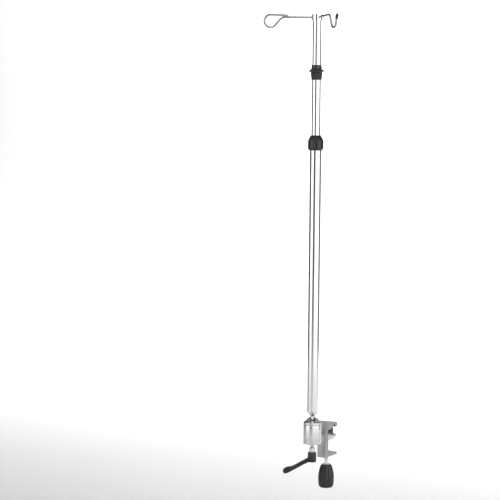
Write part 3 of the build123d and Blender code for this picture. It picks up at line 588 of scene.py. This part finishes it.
def lever_pieces():
    hub, inset, bolt = Extent("lock_lever"), Extent("lever_insert"), Extent("lock_bolt")
    spring = Extent("lever_spring")
    hub_low, hub_top = -72.0, hub.z1
    hub_radius = 9.6
    outline = rounded([(0, hub_low), (hub_radius, hub_low, 1.8), (hub_radius, hub_top - 7, 3),
                       (hub_radius - 0.9, hub_top, 0.8), (0, hub_top)], steps=5)
    body = lathe("lock_lever_skin", outline, POLE_Y, 96)
    # stations of the arm: distance from the hub's axis, upper edge, lower edge, half width
    stations = [
        (2.0, -60.6, -71.6, 8.0), (9.4, -62.4, -73.4, 7.2), (20.0, -68.6, -78.8, 5.8),
        (32.0, -75.4, -85.4, 5.5), (44.0, -81.8, -92.2, 6.0), (52.0, -82.6, -96.6, 6.5),
        (58.0, -84.9, -98.6, 6.2), (62.2, -87.6, -97.6, 4.4), (63.8, -90.4, -95.2, 2.0)]
    bm = bmesh.new()
    rings = []
    around = 24
    for distance, high, low, half in stations:
        ring = []
        for step in range(around):
            angle = 2 * pi * step / around
            across = abs(cos(angle)) ** 0.62 * (1 if cos(angle) >= 0 else -1)
            up = abs(sin(angle)) ** 0.62 * (1 if sin(angle) >= 0 else -1)
            spot = on_pole(distance, (high + low) / 2 + up * (high - low) / 2, LEVER_ANGLE, across * half)
            ring.append(bm.verts.new(spot * MM))
        rings.append(ring)
    for first, second in zip(rings, rings[1:]):
        for step in range(around):
            other = (step + 1) % around
            bm.faces.new((first[step], first[other], second[other], second[step]))
    bm.faces.new(rings[0])
    bm.faces.new(rings[-1])
    arm = new_object("arm", bm)
    cutters = [
        bar("cut", inset.radius + 0.1, 40, (0, POLE_Y, -60.0 + 20), (0, 0, 1)),
        bar("cut", 1.9, 30, (0, POLE_Y, -60.0), (0, 0, 1)),
        bar("cut", 4.7, 40, (0, POLE_Y, -61.5 - 20), (0, 0, 1))]
    place(settle(body, cutters, [arm], voxel=0.5, smooth=7), "lock_lever", sharp=45)

    r = inset.radius
    outline = rounded([(0, inset.z0), (r, inset.z0, 0.3), (r, inset.z1 - 9.0), (r - 0.35, inset.z1 - 8.7),
                       (r - 0.35, inset.z1 - 8.1), (r, inset.z1 - 7.8), (r, inset.z1 - 3.2, 0.5),
                       (r - 2.2, inset.z1, 0.4), (0, inset.z1)], steps=3)
    teeth = 24

    def serrated(angle, radius, z):
        if radius > r - 0.2 and z < inset.z1 - 12.5:
            return radius - 0.25 * (0.5 + 0.5 * cos(teeth * angle))
        return radius

    outline.insert(2, (r, inset.z1 - 13))
    outline.insert(3, (r, inset.z1 - 12))
    place(lathe("lever_insert_skin", outline, POLE_Y, 144, radius_at=serrated), "lever_insert")

    pitch, rows = 1.25, 10
    low, high = inset.z1 - 2, Extent("base_plug").z0 + 4
    outline = [(0, bolt.z0), (bolt.radius - 0.5, bolt.z0), (bolt.radius - 0.5, low)]
    count = int((high - low) / pitch * rows)
    outline += [(bolt.radius, low + pitch * step / rows) for step in range(1, count)]
    outline += [(bolt.radius - 0.5, high), (bolt.radius - 0.5, bolt.z1 - 1), (bolt.radius - 1.5, bolt.z1),
                (0, bolt.z1)]

    def thread(angle, radius, z):
        return threaded(angle, radius, z, pitch, 0.55) if low < z < high else radius

    place(lathe("lock_bolt_skin", outline, POLE_Y, 64, radius_at=thread), "lock_bolt", sharp=50)

    turns, wire_radius = 6, 0.42
    coil_radius = spring.radius - wire_radius - 0.1
    count = turns * 24
    low, high = spring.z0 + wire_radius, spring.z1 - wire_radius
    path = [Vector((coil_radius * cos(2 * pi * step / 24), POLE_Y + coil_radius * sin(2 * pi * step / 24),
                    low + (high - low) * step / count)) for step in range(count + 1)]
    place(wire("lever_spring_skin", path, wire_radius, 10, True), "lever_spring")


# ---- tubes and nut ------------------------------------------------------------------------
def tube_pieces():
    lower, upper = Extent("lower_tube"), Extent("upper_tube")
    for name, extent, wall in (("lower_tube", lower, 1.5), ("upper_tube", upper, 1.2)):
        outer, inner = extent.radius, extent.radius - wall
        rows = 40
        outside = [(outer, extent.z0 + 0.4 + (extent.z1 - extent.z0 - 0.8) * step / rows)
                   for step in range(rows + 1)]
        outline = [(inner, extent.z0), (outer - 0.3, extent.z0)] + outside
        outline += [(outer - 0.3, extent.z1), (inner, extent.z1)]
        place(lathe(name + "_skin", outline, POLE_Y, 160, closed=True), name)


def nut_pieces():
    nut, upper, lower = Extent("clamp_nut"), Extent("upper_tube"), Extent("lower_tube")
    radius = 17.0
    shoulder = nut.z1 - 9.1
    opening = upper.radius + 0.3
    bore = lower.radius + 0.3
    outline = rounded([
        (bore, nut.z0), (radius - 2.8, nut.z0, 0.8), (radius, nut.z0 + 4, 1.4), (radius, shoulder - 1.4, 0.9),
        (radius - 1.0, shoulder - 0.9, 0.3), (radius - 1.0, shoulder + 0.2, 0.3),
        (opening + 1.2, nut.z1, 0.7), (opening, nut.z1, 0.3), (opening, nut.z1 - 4.0),
        (14.5, nut.z1 - 14.0), (14.5, nut.z0 + 2.0),
        (bore, nut.z0 + 2.0)], closed=True, steps=5)
    dense = []
    for first, second in zip(outline, outline[1:] + outline[:1]):
        dense.append(first)
        if first[0] > 16.9 and second[0] > 16.9 and abs(second[1] - first[1]) > 5:
            dense += [(radius, first[1] + (second[1] - first[1]) * step / 12) for step in range(1, 12)]

    def fluted(angle, r, z):
        if r < 13.6 or z > shoulder - 0.95:
            return r
        wave = max(0.0, cos(6 * angle)) ** 2.0
        fade = min(1.0, max(0.0, (shoulder - 1.0 - z) / 2.5))
        return r - 0.95 * wave * fade * min(1.0, (r - 13.6) / 1.5)

    place(lathe("clamp_nut_skin", dense, POLE_Y, 192, closed=True, radius_at=fluted), "clamp_nut", sharp=40)


def collar_pieces():
    sleeve, cap, upper = Extent("collar_sleeve"), Extent("collar_cap"), Extent("upper_tube")
    bore = upper.radius + 0.3
    outline = rounded([(bore, sleeve.z0), (10.8, sleeve.z0, 0.6), (sleeve.radius, sleeve.z1 - 1, 0.6),
                       (sleeve.radius - 0.2, sleeve.z1, 0.2), (11.6, sleeve.z1), (11.6, sleeve.z1 - 3),
                       (bore, sleeve.z1 - 3)], closed=True, steps=4)
    place(lathe("collar_sleeve_skin", outline, POLE_Y, 128, closed=True), "collar_sleeve")
    low, flange = cap.z0, cap.radius
    outline = rounded([
        (bore, low), (12.3, low, 0.4), (13.2, low + 1.4, 0.8), (flange - 1.2, low + 1.9, 0.8),
        (flange, low + 2.9, 0.5), (flange - 0.5, low + 4.0, 0.5), (11.9, low + 8.2, 1.6),
        (11.4, low + 9.6, 0.8), (10.5, cap.z1, 0.5), (bore, cap.z1, 0.2)], closed=True, steps=5)
    place(lathe("collar_cap_skin", outline, POLE_Y, 128, closed=True), "collar_cap", MATERIALS["black_gloss"])


# ---- hooks --------------------------------------------------------------------------------
LOOP_ANGLE, OPEN_ANGLE = 213.0, -32.0
WIRE_RADIUS = 2.4
WIRE_INSIDE = 5.2              # where both wires start inside the head
LOOP_RADIUS = 13.35
LOOP_CENTRE = 100.3            # distance of the loop's middle from the pole's axis
LOOP_SHIFT = 7.5               # sideways shift of the returning end, which leaves the loop open
LOOP_START, LOOP_SWEEP, LOOP_STEPS = 43.0, 227.0, 16


def hook_pieces():
    head, screw = Extent("hook_head"), Extent("head_screw")
    upper = Extent("upper_tube")
    wire_z = (head.z1 + upper.z1) / 2 - 0.15
    low = upper.z1 + 0.05
    outline = rounded([
        (0, head.z0), (upper.radius - 1.25, head.z0, 1.0), (upper.radius - 1.25, low),
        (head.radius, low, 0.7), (head.radius, head.z1, 1.1), (2.1, head.z1, 0.3), (2.1, screw.z0 - 0.1),
        (0, screw.z0 - 0.1)], steps=5)
    body = lathe("hook_head_skin", outline, POLE_Y, 128)
    cutters = []
    for angle in (LOOP_ANGLE, OPEN_ANGLE):
        middle = on_pole(9, wire_z, angle)
        cutters.append(bar("cut", WIRE_RADIUS + 0.05, 8, middle, middle - on_pole(0, wire_z, angle), 48))
    place(settle(body, cutters, bevel=0.2), "hook_head")

    loop = Extent("loop_hook")
    centre_z = loop.z1 - WIRE_RADIUS - LOOP_RADIUS
    points = [on_pole(distance, wire_z, LOOP_ANGLE) for distance in (WIRE_INSIDE, 30, 55, 68)]
    points.append(on_pole(74, wire_z - 0.9, LOOP_ANGLE, 0.4))
    points.append(on_pole(79.5, wire_z - 4.6, LOOP_ANGLE, 0.9))
    for step in range(LOOP_STEPS + 1):
        part = step / LOOP_STEPS
        turn = radians(LOOP_START - LOOP_SWEEP * part)
        distance = LOOP_CENTRE - LOOP_RADIUS * sin(turn)
        height = centre_z - LOOP_RADIUS * cos(turn)
        points.append(on_pole(distance, height, LOOP_ANGLE, 1.5 + (LOOP_SHIFT - 1.5) * part))
    points.append(on_pole(80, centre_z + LOOP_RADIUS - 0.7, LOOP_ANGLE, LOOP_SHIFT))
    points.append(on_pole(64, centre_z + LOOP_RADIUS - 1.5, LOOP_ANGLE, LOOP_SHIFT))
    loop_wire = wire("loop_hook_skin", smooth_path(points, 8), WIRE_RADIUS, 28)
    place(loop_wire, "loop_hook", MATERIALS["wire_steel"])

    top = wire_z
    corners = [(WIRE_INSIDE, top), (57, top + 3.5, 8), (69, top - 25, 6.5), (83, top - 25, 7),
               (90.5, top + 0.5)]
    outline = rounded(corners, steps=14)
    path = []
    for (d0, z0), (d1, z1) in zip(outline, outline[1:]):
        pieces = max(1, int(hypot(d1 - d0, z1 - z0) / 3.0))
        path += [on_pole(d0 + (d1 - d0) * step / pieces, z0 + (z1 - z0) * step / pieces, OPEN_ANGLE)
                 for step in range(pieces)]
    path.append(on_pole(*outline[-1], OPEN_ANGLE))
    place(wire("open_hook_skin", path, WIRE_RADIUS, 28), "open_hook", MATERIALS["wire_steel"])


# ---- stage, light and camera --------------------------------------------------------------
CAMERA_PLACE = Vector((1.6585, -2.892, 0.657))
CAMERA_AZIMUTH, CAMERA_PITCH, CAMERA_ROLL = 32.99, 4.58, 0.49
CAMERA_LENS = 108.0
FLOOR_Z = cad_low.z - 0.35


def around_camera(degrees, distance, height):
    """Place at an angle to the right of the line from the pole to the camera, in metres."""
    angle = radians(CAMERA_AZIMUTH + degrees)
    return Vector((distance * sin(angle), POLE_Y * MM - distance * cos(angle), height))


def stage_material(name, low, high):
    n = Nodes(name)
    tone = n.mixed(n.ranged(n.noise(1.2, 3.0), 0.3, 0.7, 0.0, 1.0), (low, low, low), (high, high, high))
    n.link(tone, n.shader.inputs["Base Color"])
    n.shader.inputs["Roughness"].default_value = 0.9
    return n.material


def stage():
    """Pale floor that curves up into a backdrop well behind the object."""
    bm = bmesh.new()
    depth, height, bend, half = 6.0, 5.0, 1.5, 9.0
    outline = [(-8.0, FLOOR_Z)]
    outline += [(depth - bend + bend * sin(radians(a)), FLOOR_Z + bend - bend * cos(radians(a)))
                for a in range(0, 91, 6)]
    outline.append((depth, FLOOR_Z + height))
    rows = [[bm.verts.new((x, y, z)) for x in (-half, half)] for y, z in outline]
    for first, second in zip(rows, rows[1:]):
        bm.faces.new((first[0], first[1], second[1], second[0]))
    floor = new_object("floor", bm)
    floor.data.shade_smooth()
    floor.data.materials.append(stage_material("floor", 0.93, 0.96))


def flag(name, start, end, distance, tone):
    """Tall curved screen round the object; polished metal reflects it as a dark line."""
    bm = bmesh.new()
    columns = []
    for step in range(13):
        degrees = start + (end - start) * step / 12
        columns.append([bm.verts.new(around_camera(degrees, distance, FLOOR_Z + height))
                        for height in (0.02, 4.2)])
    for first, second in zip(columns, columns[1:]):
        bm.faces.new((first[0], second[0], second[1], first[1]))
    screen = new_object(name, bm)
    screen.data.materials.append(stage_material(name, tone * 0.9, tone * 1.1))


def ceiling_flag():
    """Grey screen overhead, which gives bent wire a darker upper edge."""
    bm = bmesh.new()
    height = FLOOR_Z + 4.6
    rows = [[bm.verts.new((x, y, height)) for x in (-4.5, 4.5)] for y in (-1.6, 0.5, 2.5, 4.5)]
    for first, second in zip(rows, rows[1:]):
        bm.faces.new((first[0], second[0], second[1], first[1]))
    screen = new_object("ceiling_flag", bm)
    screen.data.materials.append(stage_material("ceiling_flag", 0.26, 0.30))


def area_light(name, location, target, size, power):
    data = bpy.data.lights.new(name, "AREA")
    data.shape = "RECTANGLE"
    data.size, data.size_y = size
    data.energy = power
    light = bpy.data.objects.new(name, data)
    bpy.context.scene.collection.objects.link(light)
    light.location = location
    direction = Vector(target) - Vector(location)
    light.rotation_euler = direction.to_track_quat("-Z", "Y").to_euler()


def lights_and_camera():
    middle = (0, POLE_Y * MM, 0.4)
    area_light("left_panel", around_camera(-66, 4.6, 1.2), middle, (4.4, 3.8), 66)
    area_light("front_panel", around_camera(22, 4.8, 1.2), middle, (3.6, 3.8), 45)
    area_light("right_panel", around_camera(66, 4.6, 1.2), middle, (3.6, 3.8), 56)
    area_light("top_panel", around_camera(8, 3.4, 3.4), middle, (2.6, 1.2), 30)
    area_light("backdrop_light", (-1.5, 2.6, 3.4), (-1.5, 6.0, 0.9), (6.0, 0.8), 330)
    world = bpy.data.worlds.new("studio")
    world.use_nodes = True
    world.node_tree.nodes["Background"].inputs["Color"].default_value = (0.98, 0.99, 1.0, 1)
    world.node_tree.nodes["Background"].inputs["Strength"].default_value = 0.50
    bpy.context.scene.world = world
    bpy.context.scene.view_settings.view_transform = "Standard"
    camera = bpy.data.objects.new("camera", bpy.data.cameras.new("camera"))
    bpy.context.scene.collection.objects.link(camera)
    camera.data.lens = CAMERA_LENS
    camera.location = CAMERA_PLACE
    turn = Matrix.Rotation(radians(CAMERA_AZIMUTH), 4, "Z")
    turn = turn @ Matrix.Rotation(radians(90 - CAMERA_PITCH), 4, "X")
    turn = turn @ Matrix.Rotation(radians(CAMERA_ROLL), 4, "Z")
    camera.matrix_world = Matrix.Translation(CAMERA_PLACE) @ turn
    bpy.context.scene.camera = camera


def dress_cad_nodes():
    """CAD nodes that stay get the material of their slot."""
    for node, obj in frame["nodes"].items():
        for slot in obj.material_slots:
            slot.material = MATERIALS[SLOT_OF[node]]


dress_cad_nodes()
clamp_pieces()
spindle_pieces()
ball_joint_pieces()
lever_pieces()
tube_pieces()
nut_pieces()
collar_pieces()
hook_pieces()
stage()
flag("front_flag", -31, -6, 4.6, 0.02)
flag("right_flag", 88, 160, 4.2, 0.10)
flag("left_flag", -88, -152, 4.2, 0.10)
ceiling_flag()
lights_and_camera()
